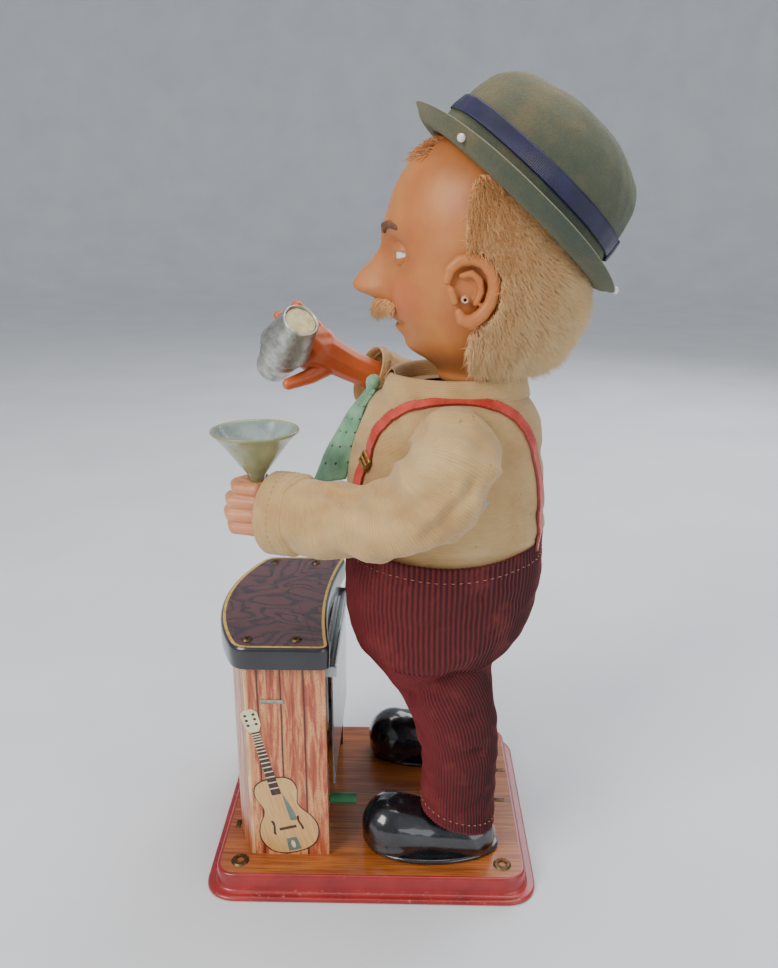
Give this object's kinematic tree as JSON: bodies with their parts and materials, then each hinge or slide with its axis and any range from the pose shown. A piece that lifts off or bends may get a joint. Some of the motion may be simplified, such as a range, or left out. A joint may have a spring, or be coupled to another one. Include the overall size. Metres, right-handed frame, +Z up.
{
  "type": "battery-operated tin bartender figure",
  "caption": "Tin, vinyl and cloth bartender figure behind a small bar, with turning body, tilting head, lifting glass arm and shaking shaker arm.",
  "frame": {"origin": "centre of the base's underside, on the table", "axes": "+Z up; the figure faces -Y; his left hand is on the +X side"},
  "size_m": [0.1144, 0.1534, 0.293],
  "materials": {
    "red_tin": "wood-grain litho deck, red rim",
    "bar_litho": "lithographed planks",
    "counter_litho": "lithographed dark wood grain, black wall",
    "plain_steel": "plain steel",
    "brass": "aged brass",
    "battery": "painted battery jacket",
    "fibre_board": "fibre board",
    "clear_sheet": "clear flexible plastic",
    "green_plastic": "vinyl tube",
    "black_shoe": "glossy black enamel",
    "corduroy": "maroon corduroy",
    "shirt_cotton": "cream cotton",
    "tie_cloth": "green printed cloth",
    "red_vinyl": "red vinyl strap",
    "face_vinyl": "soft vinyl",
    "hand_vinyl": "soft vinyl",
    "orange_vinyl": "soft vinyl",
    "plush": "short mohair plush",
    "felt": "grey-green felt",
    "navy_ribbon": "navy satin ribbon",
    "pin_white": "glass pin head",
    "lamp_glass": "small bulb",
    "tube_plastic": "vinyl tube",
    "cup_plastic": "translucent plastic",
    "dull_aluminium": "dull spun aluminium",
    "bellows_cloth": "rubberised cloth"
  },
  "bodies": {
    "base": {"base_tray": "red_tin", "base_plate": "plain_steel", "base_eyelets": "brass", "bar_case": "bar_litho", "bar_counter": "counter_litho", "counter_rivets": "brass", "battery_shelf": "fibre_board", "battery_cells": "battery", "battery_contacts": "brass", "flap_rail": "plain_steel", "switch_bracket": "plain_steel", "left_shoe": "black_shoe", "right_shoe": "black_shoe", "leg_tubes": "plain_steel", "trousers": "corduroy", "hip_plate": "plain_steel", "left_frame_plate": "plain_steel", "right_frame_plate": "plain_steel", "frame_pillars": "plain_steel", "frame_bridge": "plain_steel", "motor_can": "plain_steel", "bellows_bag": "bellows_cloth"},
    "flap": {"battery_flap": "clear_sheet"},
    "switch": {"switch_lever": "brass", "lever_sleeve": "green_plastic"},
    "armature": {"motor_pinion": "brass"},
    "idler": {"idler_gear": "brass"},
    "crankshaft": {"crank_shaft": "plain_steel", "crank_gear": "brass", "drink_crank": "plain_steel", "shake_crank": "plain_steel"},
    "bellows": {"bellows_plate": "plain_steel"},
    "torso": {"torso_shell": "plain_steel", "torso_bearing": "plain_steel", "shoulder_axle": "plain_steel", "neck_bracket": "plain_steel", "nod_pin": "plain_steel", "shirt": "shirt_cotton", "shirt_collar": "shirt_cotton", "necktie": "tie_cloth", "suspenders": "red_vinyl", "suspender_buckles": "brass"},
    "head": {"head_shell": "face_vinyl", "head_post": "plain_steel", "face_lamp": "lamp_glass", "ear_tubes": "tube_plastic", "hair": "plush", "moustache": "plush", "hat_felt": "felt", "hat_band": "navy_ribbon", "hat_pins": "pin_white"},
    "left_arm": {"left_arm_lever": "plain_steel", "left_sleeve": "shirt_cotton", "left_hand": "hand_vinyl", "cocktail_glass": "cup_plastic"},
    "right_arm": {"right_arm_lever": "plain_steel", "right_sleeve": "shirt_cotton", "right_hand": "orange_vinyl", "shaker_cup": "dull_aluminium", "shaker_cap": "dull_aluminium"}
  },
  "joints": [
    {"name": "battery_flap_swing", "type": "hinge", "parent": "base", "child": "flap", "pos_m": [0, -0.0145, 0.088], "axis": [1, 0, 0], "range_deg": [0, 28]},
    {"name": "switch_throw", "type": "hinge", "parent": "base", "child": "switch", "pos_m": [0.024, -0.024, 0.024], "axis": [0, 0, 1], "range_deg": [-18, 18]},
    {"name": "crank_spin", "type": "hinge", "parent": "base", "child": "crankshaft", "pos_m": [0, 0.03, 0.1522], "axis": [1, 0, 0], "continuous": true},
    {"name": "idler_spin", "type": "hinge", "parent": "base", "child": "idler", "pos_m": [0, 0.03, 0.1321], "axis": [1, 0, 0], "continuous": true},
    {"name": "motor_spin", "type": "hinge", "parent": "base", "child": "armature", "pos_m": [0, 0.03, 0.112], "axis": [1, 0, 0], "continuous": true},
    {"name": "bellows_pump", "type": "slide", "parent": "base", "child": "bellows", "axis": [0, 0, -1], "range_m": [0, 0.004], "stiffness_N_per_m": 60, "deforming": ["bellows_bag"]},
    {"name": "torso_turn", "type": "hinge", "parent": "base", "child": "torso", "pos_m": [0, 0.028, 0.165], "axis": [0, 0, 1], "range_deg": [-10, 10]},
    {"name": "head_tilt", "type": "hinge", "parent": "torso", "child": "head", "pos_m": [0, 0.034, 0.194], "axis": [-1, 0, 0], "range_deg": [0, 8]},
    {"name": "left_arm_lift", "type": "hinge", "parent": "torso", "child": "left_arm", "pos_m": [0.045, 0.028, 0.176], "axis": [-1, 0, 0], "range_deg": [0, 60]},
    {"name": "right_arm_shake", "type": "hinge", "parent": "torso", "child": "right_arm", "pos_m": [-0.045, 0.028, 0.176], "axis": [-1, 0, 0], "range_deg": [-22, 12]}
  ],
  "couplings": [
    {"joint": "idler_spin", "follows": "crank_spin", "ratio": -4},
    {"joint": "motor_spin", "follows": "crank_spin", "ratio": 16}
  ]
}
